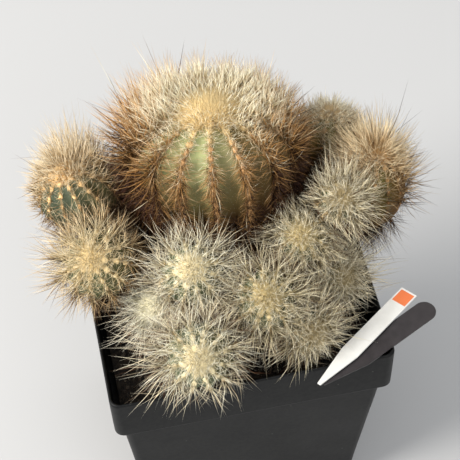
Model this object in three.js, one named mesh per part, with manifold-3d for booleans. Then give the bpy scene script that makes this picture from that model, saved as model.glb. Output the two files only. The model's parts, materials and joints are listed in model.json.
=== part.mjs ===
// A clump of grey-green cactus heads, thick with pale and brown spines, in a square
// black nursery pot, with two plant labels lying across one corner of the rim.
// Millimetres, +Z up. The origin is the middle of the pot's base, on the floor.
import * as THREE from "three";
import { mergeVertices } from "three/addons/utils/BufferGeometryUtils.js";
import Module from "manifold-3d";

const wasm = await Module();
wasm.setup();

// Driving dimensions of the pot and what fills it.
const pot = {
  height: 150,
  rim: 150, // outer side of the square at the top of the collar
  collar: { height: 30, draft: 0.7, wall: 1.6, ledge: 1.6 }, // draft: how far each side runs in
  body: { top: 140.8, base: 116.8, wall: 1.8, floor: 2.6 },
  corner: 5,
  drain: { diameter: 11, fromEdge: 14 },
};
const soil = { belowRim: 20, cells: 8, relief: 1.2 };
const gap = 0.3; // between pieces that touch
const rootDepth = 26; // how deep the stems stand in the soil
const through = 1; // how far a cutting shape runs past what it cuts

// Each head: centre and radius of its globe, height of the crown above the centre, how far the
// globe reaches below it, the lean of its axis in degrees and the compass angle it leans to
// (0 is +X, 90 is +Y), where its stem stands in the soil and how thick, its ribs, its rows of
// spines and their shortest and longest. knee is the share of the globe's lower reach that still
// follows the leaning axis, and crowded the share of places with a second spine.
const heads = [
  { name: "head_main", centre: [2.5, 36, 212], radius: 42, upper: 22, lower: 44, lean: [11, 98],
    stand: [0, 20], stem: 30, ribs: 15, rows: 12, spines: [17, 24],
    crowded: 0.5 },
  { name: "head_left_back", centre: [-72, 38.5, 190], radius: 21.5, upper: 18, lower: 25,
    lean: [20, 180], stand: [-46, 33], stem: 7.5, ribs: 13, rows: 5, spines: [16, 22] },
  { name: "head_left_front", centre: [-67, -2.5, 177], radius: 19.5, upper: 16, lower: 21,
    lean: [31, -120], stand: [-45, 2], stem: 6.5, ribs: 12, rows: 5, spines: [17, 24] },
  { name: "head_front_upper", centre: [-21, -23.5, 180], radius: 17.5, upper: 15, lower: 19,
    lean: [24, -106], stand: [-13, -19], stem: 6.5, ribs: 12, rows: 5, spines: [18, 26] },
  { name: "head_front_small", centre: [-39.5, -20.5, 155], radius: 12.5, upper: 11, lower: 13,
    lean: [40, -130], stand: [-34, -15], stem: 5, ribs: 10, rows: 4, spines: [14, 20] },
  { name: "head_front_low", centre: [-25.5, -62, 164], radius: 18, upper: 15, lower: 19,
    lean: [44, -102], stand: [-17, -42], stem: 6.5, ribs: 12, rows: 5, spines: [17, 24] },
  { name: "head_front_right", centre: [13, -41.5, 172], radius: 17, upper: 14, lower: 18,
    lean: [30, -95], stand: [9, -27], stem: 6, ribs: 12, rows: 5, spines: [18, 26] },
  { name: "head_right_small", centre: [40, -11.5, 178], radius: 14, upper: 12, lower: 14,
    lean: [28, -110], stand: [31, -7], stem: 5, ribs: 11, rows: 4, spines: [17, 24] },
  { name: "head_right_middle", centre: [61, -5, 196], radius: 11.5, upper: 11, lower: 14,
    lean: [28, -90], stand: [49, 6], stem: 4.5, ribs: 10, rows: 4, spines: [17, 23] },
  { name: "head_right_back", centre: [83, 11.5, 180], radius: 18, upper: 24, lower: 21,
    lean: [12, 50], stand: [49, 22], stem: 6, knee: 0.15, ribs: 13, rows: 6, spines: [16, 23] },
  { name: "head_right_low", centre: [55, -22, 154], radius: 12, upper: 11, lower: 12,
    lean: [45, -60], stand: [50, -17], stem: 4.5, ribs: 10, rows: 4, spines: [17, 24] },
  { name: "head_corner", centre: [33, -53, 155], radius: 12, upper: 11, lower: 13,
    lean: [48, -75], stand: [29, -44], stem: 5, ribs: 10, rows: 4, spines: [15, 21] },
  { name: "head_right_far", centre: [67, 45.5, 190], radius: 17.5, upper: 16, lower: 20,
    lean: [15, 60], stand: [45, 43], stem: 6.5, ribs: 12, rows: 5, spines: [16, 22] },
  { name: "head_back_left", centre: [-38, 60, 160], radius: 14, upper: 12, lower: 15,
    lean: [30, 125], stand: [-30, 51], stem: 5, ribs: 11, rows: 4, spines: [15, 21] },
  { name: "head_back_right", centre: [33, 62, 158], radius: 13, upper: 12, lower: 14,
    lean: [30, 65], stand: [26, 55], stem: 5, ribs: 10, rows: 4, spines: [15, 21] },
];
const rootTaper = 0.8; // of the stem's radius, at the bottom of its hole
const usualKnee = 0.75;
const rib = {
  depth: 0.13, // of the radius
  areole: 0.9, // how far its cushions stand proud
  lowest: -0.95, // latitude of the lowest ones, in radians
  columns: 2, // facets across one rib
  mainColumns: 3,
};
const spine = {
  radius: 0.6, // at the sunk root
  sunk: 2,
  rise: 0.45, // how far they comb up towards the crown
  spread: 0.5,
  sideSpread: 0.75,
  margin: 0.6, // to the plane between two heads
  clear: 2.4, // to another head's skin
  tries: 16,
  shortest: 7,
};

// The two labels: where the pointed tip and the far end lie, seen from above, and the length
// of the pointed part.
const labels = {
  smoke: { tip: [33.5, -84.5], end: [101.5, -49.5], width: 12, thick: 1, point: 26, round: true },
  white: { tip: [31, -85], end: [91.6, -39], width: 10, thick: 0.8, point: 25, round: false },
  whiteRoll: 5.5, // degrees that the white one leans off the smoke one, down to the rim
};

const colours = {
  pot: new THREE.MeshStandardMaterial({ color: 0x1b1b1c, roughness: 0.45 }),
  soil: new THREE.MeshStandardMaterial({ color: 0x2a211a, roughness: 0.95 }),
  main: new THREE.MeshStandardMaterial({ color: 0x8f9a5a, roughness: 0.75 }),
  young: new THREE.MeshStandardMaterial({ color: 0xb9b48c, roughness: 0.8 }),
  white: new THREE.MeshStandardMaterial({ color: 0xf2f1ec, roughness: 0.4 }),
  smoke: new THREE.MeshStandardMaterial({ color: 0x4b464a, roughness: 0.3 }),
};

// Seeded random numbers, so that every build is alike.
function randomFrom(seed) {
  let state = seed;
  return () => {
    state = (state + 0x6d2b79f5) | 0;
    let t = Math.imul(state ^ (state >>> 15), 1 | state);
    t = (t + Math.imul(t ^ (t >>> 7), 61 | t)) ^ t;
    return ((t ^ (t >>> 14)) >>> 0) / 4294967296;
  };
}

// Between three.js geometry and closed solids.
function solidFrom(geometry) {
  const bare = geometry.clone();
  for (const key of Object.keys(bare.attributes)) {
    if (key !== "position") bare.deleteAttribute(key);
  }
  const merged = mergeVertices(bare, 1e-4);
  return new wasm.Manifold(
    new wasm.Mesh({
      numProp: 3,
      vertProperties: new Float32Array(merged.attributes.position.array),
      triVerts: new Uint32Array(merged.index.array),
    }),
  );
}

function meshFrom(solid, material, name) {
  const { vertProperties, triVerts } = solid.getMesh();
  const geometry = new THREE.BufferGeometry();
  geometry.setAttribute("position", new THREE.BufferAttribute(vertProperties, 3));
  geometry.setIndex(new THREE.BufferAttribute(triVerts, 1));
  geometry.computeVertexNormals();
  const mesh = new THREE.Mesh(geometry, material);
  mesh.name = name;
  return mesh;
}

// A block on a rounded square, whose half side runs evenly from bottom to top.
function taperedBlock(halfBottom, halfTop, zBottom, zTop, corner) {
  const outline = new THREE.Shape();
  const flat = 1 - corner / halfTop;
  const round = corner / halfTop;
  outline.moveTo(-flat, -1);
  outline.lineTo(flat, -1);
  outline.absarc(flat, -flat, round, -Math.PI / 2, 0, false);
  outline.lineTo(1, flat);
  outline.absarc(flat, flat, round, 0, Math.PI / 2, false);
  outline.lineTo(-flat, 1);
  outline.absarc(-flat, flat, round, Math.PI / 2, Math.PI, false);
  outline.lineTo(-1, -flat);
  outline.absarc(-flat, -flat, round, Math.PI, Math.PI * 1.5, false);
  const depth = zTop - zBottom;
  const block = new THREE.ExtrudeGeometry(outline, { depth, bevelEnabled: false, curveSegments: 3 });
  const at = block.attributes.position;
  for (let i = 0; i < at.count; i++) {
    const half = THREE.MathUtils.lerp(halfBottom, halfTop, at.getZ(i) / depth);
    at.setXYZ(i, at.getX(i) * half, at.getY(i) * half, at.getZ(i) + zBottom);
  }
  return solidFrom(block);
}

function uprightRod(x, y, radius, zBottom, zTop, sides) {
  const rod = new THREE.CylinderGeometry(radius, radius, zTop - zBottom, sides);
  rod.rotateX(Math.PI / 2).translate(x, y, (zBottom + zTop) / 2);
  return solidFrom(rod);
}

// Half the inner side of the pot's body at a height.
function innerHalf(z) {
  const bodyTop = pot.height - pot.collar.height;
  const half = THREE.MathUtils.lerp(pot.body.base, pot.body.top, z / bodyTop) / 2;
  return half - pot.body.wall;
}

function makePot() {
  const { height, rim, collar, body, corner, drain } = pot;
  const collarZ = height - collar.height;
  const outer = taperedBlock(body.base / 2, body.top / 2, 0, collarZ + collar.ledge, corner).add(
    taperedBlock(rim / 2 - collar.draft, rim / 2, collarZ, height, corner),
  );
  const inside = taperedBlock(innerHalf(body.floor), innerHalf(collarZ + collar.ledge + through),
    body.floor, collarZ + collar.ledge + through, corner - body.wall);
  const collarHalf = rim / 2 - collar.wall;
  const collarInside = taperedBlock(collarHalf - collar.draft, collarHalf,
    collarZ + collar.ledge, height + through, corner - collar.wall);
  let made = outer.subtract(inside).subtract(collarInside);
  const reach = body.base / 2 - drain.fromEdge;
  for (const x of [-reach, 0, reach]) {
    for (const y of [-reach, 0, reach]) {
      if (x === 0 && y === 0) continue; // the middle of the base stays whole
      made = made.subtract(
        uprightRod(x, y, drain.diameter / 2, -through, body.floor + through, 10));
    }
  }
  return made;
}

// The path of each head's middle, from its root up through the stem to the crown.
const soilZ = pot.height - soil.belowRim;
const steps = 96;
function pathOf(head) {
  const [lean, toward] = head.lean.map(THREE.MathUtils.degToRad);
  const axis = new THREE.Vector3(
    Math.sin(lean) * Math.cos(toward), Math.sin(lean) * Math.sin(toward), Math.cos(lean));
  const centre = new THREE.Vector3(...head.centre);
  const [x, y] = head.stand;
  const curve = new THREE.CatmullRomCurve3([
    new THREE.Vector3(x, y, soilZ - rootDepth),
    new THREE.Vector3(x, y, soilZ - rootDepth / 2),
    new THREE.Vector3(x, y, soilZ + 3),
    centre.clone().addScaledVector(axis, -head.lower * (head.knee ?? usualKnee)),
    centre,
    centre.clone().addScaledVector(axis, head.upper),
  ], false, "centripetal");
  const points = curve.getSpacedPoints(steps);
  const frames = curve.computeFrenetFrames(steps, false);
  const nearest = (p) => points.reduce((best, q, i) =>
    q.distanceTo(p) < points[best].distanceTo(p) ? i : best, 0);
  return { axis, centre, points, frames, length: curve.getLength(), middle: nearest(centre) };
}

// Radius of a head where its path has run to the given step: a stem that swells into a
// globe, flattened at the crown.
function radiusAt(head, path, step) {
  const along = ((step - path.middle) / steps) * path.length;
  const reach = along > 0 ? head.upper : head.lower;
  const globe = head.radius * Math.sqrt(Math.max(0, 1 - (along / reach) ** 2));
  if (along > 0) return globe;
  return Math.min(head.radius, Math.hypot(globe, head.stem * Math.min(1, -along / head.lower)));
}

// Rows of a head from crown to root: rows with spines round the globe, every other one raised
// at the rib's crest as an areole, then the bare stem.
function rowsOf(head, path) {
  const rows = [{ step: steps, rib: 0, cap: true }];
  const perStep = path.length / steps;
  const top = Math.PI / 2;
  for (let i = 1; i <= head.rows; i++) {
    const latitude = THREE.MathUtils.lerp(top, rib.lowest, i / head.rows);
    const reach = latitude > 0 ? head.upper : head.lower;
    const step = Math.round(path.middle + (Math.sin(latitude) * reach) / perStep);
    rows.push({ step, areole: i % 2 === 1, rib: Math.min(1, i / 2), latitude });
  }
  const soilStep = path.points.findIndex((p) => p.z > soilZ + 2);
  rows.push({ step: Math.round((rows.at(-1).step + soilStep) / 2), rib: 0.4 });
  rows.push({ step: soilStep, rib: 0 });
  rows.push({ step: 1, rib: 0 });
  rows.push({ step: 0, rib: 0, cap: true });
  return rows;
}

const columnsPerRib = (head) => (head.name === "head_main" ? rib.mainColumns : rib.columns);

// One point of a head's skin, at a row and at a count of ribs round it: a whole number is on a
// rib's crest and a half is in the furrow. side is its direction from the middle.
function skinPoint(head, path, row, ribCount) {
  const { normals, binormals } = path.frames;
  const turn = (ribCount / head.ribs) * 2 * Math.PI;
  const crest = (1 + Math.cos(ribCount * 2 * Math.PI)) / 2;
  const side = normals[row.step].clone().multiplyScalar(Math.sin(turn))
    .addScaledVector(binormals[row.step], Math.cos(turn));
  if (row.cap) return { at: path.points[row.step].clone(), side };
  const plain = row.step <= 1 ? head.stem * rootTaper : radiusAt(head, path, row.step);
  const furrow = 1 - rib.depth * row.rib * (1 - crest);
  const bump = row.areole && crest > 0.99 ? rib.areole : 0;
  const at = path.points[row.step].clone().addScaledVector(side, plain * furrow + bump);
  return { at, side };
}

// A head's skin: a sphere whose rows and columns are laid along the path.
function bodyOf(head, path, rows) {
  const perRib = columnsPerRib(head);
  const columns = head.ribs * perRib;
  const ball = new THREE.SphereGeometry(1, columns, rows.length - 1);
  const at = ball.attributes.position;
  for (let i = 0; i < at.count; i++) {
    const row = rows[Math.round((Math.acos(THREE.MathUtils.clamp(at.getY(i), -1, 1)) / Math.PI)
      * (rows.length - 1))];
    const column = Math.round((Math.atan2(at.getZ(i), at.getX(i)) / (2 * Math.PI)) * columns);
    const wrapped = (column + columns) % columns;
    const { at: point } = skinPoint(head, path, row, wrapped / perRib);
    at.setXYZ(i, point.x, point.y, point.z);
  }
  return solidFrom(ball);
}

// A straight three-sided needle from a root sunk in the skin to its tip.
function needle(root, tip) {
  const along = tip.clone().sub(root);
  const start = root.clone().addScaledVector(along.clone().normalize(), -spine.sunk);
  const length = tip.distanceTo(start);
  const cone = new THREE.ConeGeometry(spine.radius, length, 3);
  cone.translate(0, length / 2, 0);
  cone.applyQuaternion(new THREE.Quaternion().setFromUnitVectors(
    new THREE.Vector3(0, 1, 0), along.normalize()));
  cone.translate(start.x, start.y, start.z);
  return solidFrom(cone);
}

// The planes that keep a head's spines on its own side of each neighbour: every point within
// belongs to this head, by its distance to the globes.
function cellOf(head, all) {
  const own = new THREE.Vector3(...head.centre);
  return all.filter((other) => other !== head).map((other) => {
    const far = new THREE.Vector3(...other.centre);
    const between = own.distanceTo(far);
    const edge = (far.lengthSq() - own.lengthSq() + head.radius ** 2 - other.radius ** 2)
      / (2 * between);
    return { normal: far.sub(own).divideScalar(between), edge: edge - spine.margin };
  });
}

// True where a point is clear of the pot, the soil, the labels and every other head's skin.
function isClear(p, others) {
  const outer = Math.max(Math.abs(p.x), Math.abs(p.y));
  const overWall = outer < pot.rim / 2 + 1 && outer > innerHalf(soilZ) - 1;
  if (overWall && p.z < pot.height + 1) return false;
  if (outer < pot.rim / 2 && p.z < soilZ + 3) return false;
  for (const label of [labels.smoke, labels.white]) {
    const tip = new THREE.Vector2(...label.tip);
    const run = new THREE.Vector2(...label.end).sub(tip);
    const from = new THREE.Vector2(p.x, p.y).sub(tip);
    const share = THREE.MathUtils.clamp(from.dot(run) / run.lengthSq(), 0, 1);
    const away = from.addScaledVector(run, -share).length();
    if (away < label.width / 2 + 2 && Math.abs(p.z - pot.height) < 5) return false;
  }
  return others.every((other) => other.balls.every(
    (ball) => p.distanceToSquared(ball.at) > (ball.radius + spine.clear) ** 2));
}

// Bends a tip back inside the planes, then tests the whole needle.
function bentClear(root, wanted, cell, others) {
  const tip = wanted.clone();
  for (let pass = 0; pass < 6; pass++) {
    for (const { normal, edge } of cell) {
      const over = normal.dot(tip) - edge;
      if (over > 0) tip.addScaledVector(normal, -over);
    }
  }
  if (cell.some(({ normal, edge }) => normal.dot(root) > edge || normal.dot(tip) > edge + 0.01)) {
    return null;
  }
  if (root.distanceTo(tip) < spine.shortest) return null;
  for (let share = 0.1; share <= 1; share += 0.1) {
    if (!isClear(root.clone().lerp(tip, share), others)) return null;
  }
  return tip;
}

// Where a spine grows: inside the skin's facet beside the rib's crest, between two rows, to the
// left or the right of the crest.
function rootOf(head, path, upper, lower, k, leftOrRight) {
  const flank = k + leftOrRight / columnsPerRib(head);
  const crestShare = 0.38;
  const { at: high, side } = skinPoint(head, path, upper, k);
  const { at: low } = skinPoint(head, path, lower, k);
  const { at: third } = skinPoint(head, path, leftOrRight < 0 ? lower : upper, flank);
  const root = high.add(low).multiplyScalar(crestShare)
    .addScaledVector(third, 1 - 2 * crestShare);
  return { root, side };
}

function spinesOf(head, path, rows, cell, others) {
  const random = randomFrom(heads.indexOf(head) * 977 + 11);
  const spread = (most) => (random() * 2 - 1) * most;
  const [shortest, longest] = head.spines;
  const made = [];
  const grow = (i, k, leftOrRight) => {
    const { root, side } = rootOf(head, path, rows[i - 1], rows[i], k, leftOrRight);
    const latitude = (rows[i].latitude + (rows[i - 1].latitude ?? Math.PI / 2)) / 2;
    const up = path.frames.tangents[rows[i].step];
    const across = up.clone().cross(side);
    for (let t = 0; t < spine.tries; t++) {
      const out = side.clone().multiplyScalar(Math.cos(latitude))
        .addScaledVector(up, Math.sin(latitude) + spine.rise + spread(spine.spread))
        .addScaledVector(across, spread(spine.sideSpread)).normalize();
      const length = shortest + random() * (longest - shortest);
      const tip = bentClear(root, root.clone().addScaledVector(out, length), cell, others);
      if (tip) {
        made.push(needle(root, tip));
        return;
      }
    }
  };
  for (let i = 2; i <= head.rows; i++) {
    for (let k = 0; k < head.ribs; k++) {
      const first = (i + k) % 2 ? 1 : -1;
      grow(i, k, first);
      if (random() < (head.crowded ?? 0)) grow(i, k, -first);
    }
  }
  return made;
}

// Soil: a block cut to the pot's inside, its top uneven, with a plain hole for each stem.
function makeSoil() {
  const bottom = pot.body.floor + gap;
  const coverZ = soilZ + 5;
  const half = innerHalf(soilZ);
  const grain = randomFrom(7);
  const block = new THREE.BoxGeometry(2, 2, 1, soil.cells, soil.cells, 1);
  const at = block.attributes.position;
  const heights = new Map();
  for (let i = 0; i < at.count; i++) {
    const key = at.getX(i).toFixed(3) + at.getY(i).toFixed(3);
    if (!heights.has(key)) heights.set(key, soilZ + (grain() - 0.5) * 2 * soil.relief);
    const top = at.getZ(i) > 0;
    at.setXYZ(i, at.getX(i) * half, at.getY(i) * half, top ? heights.get(key) : bottom);
  }
  const fill = taperedBlock(innerHalf(bottom) - gap, innerHalf(coverZ) - gap,
    bottom, coverZ, pot.corner - pot.body.wall);
  let made = solidFrom(block).intersect(fill);
  for (const head of heads) {
    const sides = head.name === "head_main" ? 24 : 9;
    const radius = (head.stem + gap) / Math.cos(Math.PI / sides);
    const depth = soilZ - rootDepth - gap;
    made = made.subtract(uprightRod(...head.stand, radius, depth, coverZ, sides));
  }
  return made;
}

// A flat label: a strip with a pointed tip and a square or rounded far end.
function makeLabel(label, bottom, roll) {
  const tip = new THREE.Vector2(...label.tip);
  const run = new THREE.Vector2(...label.end).sub(tip);
  const length = run.length();
  const half = label.width / 2;
  const blunt = 1;
  const outline = new THREE.Shape();
  outline.moveTo(0, -blunt);
  outline.lineTo(label.point, -half);
  if (label.round) {
    outline.lineTo(length - half, -half);
    outline.absarc(length - half, 0, half, -Math.PI / 2, Math.PI / 2, false);
  } else {
    outline.lineTo(length, -half);
    outline.lineTo(length, half);
  }
  outline.lineTo(label.point, half);
  outline.lineTo(0, blunt);
  const strip = new THREE.ExtrudeGeometry(outline,
    { depth: label.thick, bevelEnabled: false, curveSegments: 10 });
  strip.rotateX(roll);
  strip.rotateZ(Math.atan2(run.y, run.x));
  strip.translate(tip.x, tip.y, bottom);
  return solidFrom(strip);
}

const group = new THREE.Group();
group.add(meshFrom(makePot(), colours.pot, "pot"));
group.add(meshFrom(makeSoil(), colours.soil, "soil"));

const grown = heads.map((head) => {
  const path = pathOf(head);
  const rows = rowsOf(head, path);
  const balls = [];
  for (let step = 2; step < steps; step += 3) {
    balls.push({ at: path.points[step], radius: radiusAt(head, path, step) });
  }
  return { head, path, rows, balls };
});
for (const plant of grown) {
  const { head, path, rows } = plant;
  const others = grown.filter((other) => other !== plant);
  const needles = spinesOf(head, path, rows, cellOf(head, heads), others);
  const fused = needles.reduce((all, one) => all.add(one), bodyOf(head, path, rows));
  const whole = fused.decompose().sort((a, b) => b.volume() - a.volume())[0];
  const material = head.name === "head_main" ? colours.main : colours.young;
  group.add(meshFrom(whole, material, head.name));
}

const onRim = pot.height + gap;
group.add(meshFrom(makeLabel(labels.smoke, onRim, 0), colours.smoke, "label_smoke"));
const lift = onRim + labels.smoke.thick + gap;
const roll = THREE.MathUtils.degToRad(-labels.whiteRoll);
group.add(meshFrom(makeLabel(labels.white, lift, roll), colours.white, "label_white"));

export default group;
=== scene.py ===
# A clump of grey-green cactus heads in a square black nursery pot, with two plant labels
# on a corner of its rim. Sizes are in millimetres unless a line says otherwise.
import json
import math

import bmesh
import bpy
import numpy as np
from mathutils import Matrix, Vector, noise

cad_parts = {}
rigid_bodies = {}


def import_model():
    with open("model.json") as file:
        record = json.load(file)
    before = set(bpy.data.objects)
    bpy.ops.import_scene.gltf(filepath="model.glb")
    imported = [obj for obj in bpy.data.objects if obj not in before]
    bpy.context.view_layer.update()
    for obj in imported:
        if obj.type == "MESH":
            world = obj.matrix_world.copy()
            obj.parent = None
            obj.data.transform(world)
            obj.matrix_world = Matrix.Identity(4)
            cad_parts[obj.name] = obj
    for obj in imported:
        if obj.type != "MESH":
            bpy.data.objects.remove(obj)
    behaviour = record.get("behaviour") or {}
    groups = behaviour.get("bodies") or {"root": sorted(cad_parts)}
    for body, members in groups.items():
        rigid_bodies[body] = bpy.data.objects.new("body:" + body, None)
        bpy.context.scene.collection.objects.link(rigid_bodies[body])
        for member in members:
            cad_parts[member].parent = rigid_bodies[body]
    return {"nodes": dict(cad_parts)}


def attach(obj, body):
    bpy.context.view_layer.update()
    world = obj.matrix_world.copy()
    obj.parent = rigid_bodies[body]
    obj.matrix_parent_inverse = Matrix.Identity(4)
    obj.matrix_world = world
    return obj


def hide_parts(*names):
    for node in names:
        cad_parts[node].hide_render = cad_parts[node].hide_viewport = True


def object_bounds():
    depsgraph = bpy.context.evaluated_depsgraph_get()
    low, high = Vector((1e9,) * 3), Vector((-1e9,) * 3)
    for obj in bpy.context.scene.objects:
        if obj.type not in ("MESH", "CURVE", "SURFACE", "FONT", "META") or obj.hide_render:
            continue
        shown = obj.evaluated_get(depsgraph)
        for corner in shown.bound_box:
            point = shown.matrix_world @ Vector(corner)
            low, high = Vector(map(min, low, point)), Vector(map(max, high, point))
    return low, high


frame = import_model()
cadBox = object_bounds()
mm = 0.001
print("frame loaded")

# Camera, floor and soft studio light, in metres.
cameraLook = {
    "place": (-0.08375, -0.49707, 0.81304),
    "right": (0.97893952, -0.20264288, -0.02476464),
    "up": (0.17353603, 0.76209826, 0.62377198),
    "back": (-0.10752986, -0.6149326, 0.78121394),
    "lens": 120.5,
}
studioLook = {
    "floorSize": 6.0, "floorZ": -0.0002, "floorGrey": 194, "aim": (0, 0, 0.18),
    # place, size, power and colour
    "lights": {"key_light": ((-2.1, -0.4, 1.75), 1.5, 100.0, (1.0, 0.97, 0.92)),
               "fill_light": ((0.3, -1.4, 1.4), 1.2, 6.0, (0.95, 0.97, 1.0))},
    "skyColour": (0.97, 0.985, 1.0), "skyStrength": 0.72,
}


def addObject(name, data):
    made = bpy.data.objects.new(name, data)
    bpy.context.collection.objects.link(made)
    return made


def meshOf(bm, name):
    mesh = bpy.data.meshes.new(name)
    bm.to_mesh(mesh)
    bm.free()
    return mesh


def makeCamera(look):
    data = bpy.data.cameras.new("camera")
    data.lens = look["lens"]
    data.sensor_width = 36
    turn = Matrix((look["right"], look["up"], look["back"])).transposed()
    camera = addObject("camera", data)
    camera.matrix_world = Matrix.Translation(look["place"]) @ turn.to_4x4()
    bpy.context.scene.camera = camera


def makeLight(name, place, size, power, colour):
    data = bpy.data.lights.new(name, "AREA")
    data.shape = "DISK"
    data.size = size
    data.energy = power
    data.color = colour
    lamp = addObject(name, data)
    lamp.location = place
    aim = Vector(studioLook["aim"]) - Vector(place)
    lamp.rotation_euler = aim.to_track_quat("-Z", "Y").to_euler()


makeCamera(cameraLook)
for lightName, light in studioLook["lights"].items():
    makeLight(lightName, *light)
world = bpy.data.worlds.new("studio")
world.use_nodes = True
sky = world.node_tree.nodes["Background"]
sky.inputs["Color"].default_value = (*studioLook["skyColour"], 1)
sky.inputs["Strength"].default_value = studioLook["skyStrength"]
bpy.context.scene.world = world
bpy.context.scene.view_settings.view_transform = "Standard"
print("camera and lights made")


# Small helpers for materials.
def paint(red, green, blue):
    # a screen colour, 0 to 255, as a shader's own
    return tuple(((c / 255 + 0.055) / 1.055) ** 2.4 for c in (red, green, blue)) + (1.0,)


def addNode(tree, kind, **settings):
    node = tree.nodes.new(kind)
    for name, value in settings.items():
        setattr(node, name, value)
    return node


def feed(tree, node, values):
    # each value is an output to link, or a number or colour to set
    for name, value in values.items():
        socket = node.inputs[name]
        if isinstance(value, bpy.types.NodeSocket):
            tree.links.new(value, socket)
        else:
            socket.default_value = value
    return node


def mathNode(tree, operation, first, second=0.0, clamp=False):
    node = addNode(tree, "ShaderNodeMath", operation=operation, use_clamp=clamp)
    return feed(tree, node, {0: first, 1: second}).outputs[0]


def blendColours(tree, share, first, second, mode="MIX"):
    node = addNode(tree, "ShaderNodeMix", data_type="RGBA", blend_type=mode)
    return feed(tree, node, {0: share, 6: first, 7: second}).outputs[2]


def softStep(tree, value, low, high):
    node = addNode(tree, "ShaderNodeMapRange", interpolation_type="SMOOTHSTEP")
    return feed(tree, node, {"Value": value, "From Min": low, "From Max": high}).outputs[0]


def newGroup(name, inputs, outputs):
    tree = bpy.data.node_groups.new(name, "ShaderNodeTree")
    for label, kind, value in inputs:
        socket = tree.interface.new_socket(label, in_out="INPUT", socket_type=kind)
        if value is not None:
            socket.default_value = value
    for label, kind in outputs:
        tree.interface.new_socket(label, in_out="OUTPUT", socket_type=kind)
    return tree, addNode(tree, "NodeGroupInput").outputs, addNode(tree, "NodeGroupOutput")


def useGroup(tree, group, values):
    node = addNode(tree, "ShaderNodeGroup", node_tree=group)
    return feed(tree, node, values).outputs


def newMaterial(name, settings):
    material = bpy.data.materials.new(name)
    material.use_nodes = True
    shader = material.node_tree.nodes["Principled BSDF"]
    feed(material.node_tree, shader, settings)
    return material, material.node_tree, shader


def attribute(tree, name):
    return addNode(tree, "ShaderNodeAttribute", attribute_name=name).outputs["Fac"]


def objectPlace(tree):
    return addNode(tree, "ShaderNodeTexCoord").outputs["Object"]


def bumpFrom(tree, height, strength, distance):
    node = addNode(tree, "ShaderNodeBump")
    feed(tree, node, {"Height": height, "Strength": strength, "Distance": distance})
    return node.outputs["Normal"]


colourKind = "NodeSocketColor"
numberKind = "NodeSocketFloat"
vectorKind = "NodeSocketVector"
grey = (0.5, 0.5, 0.5, 1)


def makeMottle():
    # two colours laid over each other in soft blotches, with a finer grain on top
    tree, given, out = newGroup("mottle", [
        ("Place", vectorKind, None), ("Scale", numberKind, 100.0), ("Low", colourKind, grey),
        ("High", colourKind, grey), ("Contrast", numberKind, 0.2),
    ], [("Color", colourKind), ("Mask", numberKind)])
    broad = addNode(tree, "ShaderNodeTexNoise")
    feed(tree, broad, {"Vector": given["Place"], "Scale": given["Scale"], "Detail": 5.0,
                       "Roughness": 0.6})
    low = mathNode(tree, "SUBTRACT", 0.5, given["Contrast"])
    high = mathNode(tree, "ADD", 0.5, given["Contrast"])
    mask = softStep(tree, broad.outputs[0], low, high)
    feed(tree, out, {"Color": blendColours(tree, mask, given["Low"], given["High"]),
                     "Mask": mask})
    return tree


# Where a spine's colours change, by its age or along its length.
tintLook = {
    "middle": (0.12, 0.6), "old": (0.48, 0.92), "young": (0.55, 0.2), "base": (0.7, 0.15),
    "tip": (0.6, 1.0), "shadow": (0.0, 0.5), "youngShadow": 0.75, "lightest": 1.15,
    "wander": 7.31,
}


def makeSpineTint(look):
    # pale at the crown, browner on the flanks and darkest low down; each spine has its own tone
    tree, given, out = newGroup("spine_tint", [
        ("Age", numberKind, 0.0), ("Tone", numberKind, 0.5), ("Along", numberKind, 0.5),
        ("Crown", colourKind, grey), ("Middle", colourKind, grey), ("Old", colourKind, grey),
        ("Tip", colourKind, grey), ("Spread", numberKind, 0.5), ("Darkest", numberKind, 0.6),
        ("RootShade", numberKind, 0.55), ("Base", colourKind, grey),
    ], [("Color", colourKind)])
    offset = mathNode(tree, "MULTIPLY", mathNode(tree, "SUBTRACT", given["Tone"], 0.5),
                      given["Spread"])
    age = mathNode(tree, "ADD", given["Age"], offset)
    middle = softStep(tree, age, *look["middle"])
    shade = blendColours(tree, middle, given["Crown"], given["Middle"])
    old = softStep(tree, age, *look["old"])
    shade = blendColours(tree, old, shade, given["Old"])
    young = softStep(tree, age, *look["young"])
    base = mathNode(tree, "MULTIPLY", softStep(tree, given["Along"], *look["base"]), young)
    shade = blendColours(tree, base, shade, given["Base"])
    tip = mathNode(tree, "MULTIPLY", softStep(tree, given["Along"], *look["tip"]),
                   mathNode(tree, "SUBTRACT", 1.0, old))
    shade = blendColours(tree, tip, shade, given["Tip"])
    wander = mathNode(tree, "FRACT", mathNode(tree, "MULTIPLY", given["Tone"], look["wander"]))
    span = mathNode(tree, "SUBTRACT", look["lightest"], given["Darkest"])
    light = mathNode(tree, "ADD", given["Darkest"], mathNode(tree, "MULTIPLY", wander, span))
    # painted shade: every spine and hair is darker towards its root, and young ones less so
    clear = mathNode(tree, "MAXIMUM", softStep(tree, given["Along"], *look["shadow"]),
                     mathNode(tree, "MULTIPLY", young, look["youngShadow"]))
    rise = mathNode(tree, "MULTIPLY", clear, mathNode(tree, "SUBTRACT", 1.0, given["RootShade"]))
    level = mathNode(tree, "MULTIPLY", light, mathNode(tree, "ADD", given["RootShade"], rise))
    dark = addNode(tree, "ShaderNodeCombineColor")
    feed(tree, dark, {0: level, 1: level, 2: level})
    feed(tree, out, {"Color": blendColours(tree, 1.0, shade, dark.outputs[0], "MULTIPLY")})
    return tree


mottle = makeMottle()
spineTint = makeSpineTint(tintLook)


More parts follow.
